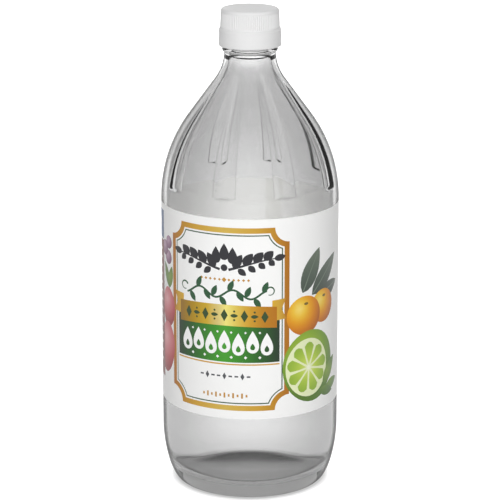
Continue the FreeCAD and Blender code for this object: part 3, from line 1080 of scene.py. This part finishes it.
# %% Moulded polypropylene
grain_w = 0.4
tree = finish_for(cap, "moulded_white_polypropylene")
where = add(tree, "ShaderNodeTexCoord").outputs["Object"]
grain = add(tree, "ShaderNodeTexNoise", {"Vector": where, "Scale": 1 / (grain_w * mm), "Detail": 2.0})
satin = add(tree, "ShaderNodeBump", {"Height": grain.outputs["Fac"], "Strength": 0.1, "Distance": 0.1 * mm})
moulded = add(tree, "ShaderNodeBsdfPrincipled", {"Base Color": rgba("#e4e4e4"), "Roughness": 0.38,
                                                 "IOR": 1.49, "Normal": satin.outputs["Normal"]})
add(tree, "ShaderNodeOutputMaterial", {"Surface": moulded.outputs["BSDF"]})

# %% [markdown]
# A renderer's straight shadow rays don't pass through glass, and would leave the inside of the label
# and the floor in the dark.  On the real bottle they are lit through the glass and the vinegar.

# %% Light through the clear pieces
for clear_piece in (glass, vinegar):
    clear_piece.visible_shadow = False
    print(clear_piece.name, "casts no shadow")

# %% [markdown]
# ## Studio
#
# A white table in a white room, with one broad soft light beside the camera and a weaker one behind,
# which also lights the label through from the back.  The floor is plain diffuse white; what the
# camera, a reflection or the glass sees of it gets a little glow, so that it reads white while the
# bottle's own shadow stays.  Under the bottle's foot the glow is cut down to almost nothing: a painted
# shadow, which lets the base show the shaded table.

# %% Floor, with a painted shadow under the bottle
floor_half = 4.0
floor_mesh = bpy.data.meshes.new("table_top")
floor_mesh.from_pydata([(-floor_half, -floor_half, 0), (floor_half, -floor_half, 0),
                        (floor_half, floor_half, 0), (-floor_half, floor_half, 0)], [], [(0, 1, 2, 3)])
floor = bpy.data.objects.new("table_top", floor_mesh)
bpy.context.scene.collection.objects.link(floor)


def seen(tree):
    """1 for what the camera, a mirror or glass sees, and 0 for light that falls on things."""
    path = add(tree, "ShaderNodeLightPath").outputs
    either = add(tree, "ShaderNodeMath", {0: path["Is Camera Ray"], 1: path["Is Glossy Ray"]},
                 operation="MAXIMUM")
    return add(tree, "ShaderNodeMath", {0: either.outputs[0], 1: path["Is Transmission Ray"]},
               operation="MAXIMUM").outputs[0]


floor_glow = 0.82
painted_shadow_glow = 0.06
painted_shadow_r, painted_shadow_edge_r = 37, 42
tree = finish_for(floor, "matt_white_table")
matt = add(tree, "ShaderNodeBsdfDiffuse", {"Color": (0.7, 0.7, 0.7, 1)})
# Painted shadow: the glow drops to almost nothing within a circle under the bottle's foot.
spot = add(tree, "ShaderNodeTexCoord").outputs["Object"]
off_axis = add(tree, "ShaderNodeVectorMath", {0: spot}, operation="LENGTH").outputs["Value"]
painted_shadow_mask = add(tree, "ShaderNodeMapRange", {"Value": off_axis,
                                            "From Min": painted_shadow_r * mm, "From Max": painted_shadow_edge_r * mm,
                                            "To Min": painted_shadow_glow, "To Max": floor_glow})
strength = add(tree, "ShaderNodeMath", {0: seen(tree), 1: painted_shadow_mask.outputs["Result"]}, operation="MULTIPLY")
glow = add(tree, "ShaderNodeEmission", {"Strength": strength.outputs[0]})
both = add(tree, "ShaderNodeAddShader", {0: matt.outputs["BSDF"], 1: glow.outputs["Emission"]})
add(tree, "ShaderNodeOutputMaterial", {"Surface": both.outputs["Shader"]})

# %% White room
room_light = 0.18
room = bpy.data.worlds.new("white_room")
bpy.context.scene.world = room
room.use_nodes = True
tree = room.node_tree
tree.nodes.clear()
far = add(tree, "ShaderNodeBackground", {"Color": (1, 1, 1, 1), "Strength": room_light})
near = add(tree, "ShaderNodeBackground", {"Color": (1, 1, 1, 1), "Strength": 1.0})
walls = add(tree, "ShaderNodeMixShader", {"Fac": seen(tree), 1: far.outputs[0], 2: near.outputs[0]})
add(tree, "ShaderNodeOutputWorld", {"Surface": walls.outputs["Shader"]})
print("room gives", room_light, "of white to things, and shows as full white")

# %% Soft lights
camera_turn = math.radians(16.5)
aim_z = 0.12


def soft_box(name, turn, lift_deg, distance, size, power):
    """A square soft box that looks at the middle of the bottle and isn't seen itself."""
    lift = math.radians(lift_deg)
    aim = Vector((0, 0, aim_z))
    lamp = bpy.data.lights.new(name, "AREA")
    lamp.shape = "SQUARE"
    lamp.size = size
    lamp.energy = power
    box = bpy.data.objects.new(name, lamp)
    bpy.context.scene.collection.objects.link(box)
    away = Vector((math.sin(turn) * math.cos(lift), -math.cos(turn) * math.cos(lift), math.sin(lift)))
    box.location = aim + away * distance
    box.rotation_euler = away.to_track_quat("Z", "Y").to_euler()
    box.visible_camera = False
    box.visible_transmission = False
    box.visible_glossy = False
    print(name, power, "W at", distance, "m")


soft_box("front_soft_box", camera_turn, lift_deg=30, distance=2.0, size=1.2, power=33)
soft_box("back_soft_box", camera_turn + math.pi, lift_deg=18, distance=2.0, size=0.9, power=20)

# %% [markdown]
# A long lens from a little over a metre away, looking down, draws the bottle tall with hardly any
# narrowing.

# %% Camera
camera_away = 1.1246
camera_up = 0.42405
camera_down = math.radians(15.237)
view = bpy.data.cameras.new("camera")
view.sensor_width = 36
view.lens = 168.2
view.clip_end = 100
eye = bpy.data.objects.new("camera", view)
bpy.context.scene.collection.objects.link(eye)
eye.location = (camera_away * math.sin(camera_turn), -camera_away * math.cos(camera_turn), camera_up)
eye.rotation_euler = (math.pi / 2 - camera_down, 0, camera_turn)
bpy.context.scene.camera = eye
bpy.context.scene.view_settings.view_transform = "Standard"
print("camera", camera_away, "m away,", camera_up, "m up, lens", round(view.lens, 1), "mm")
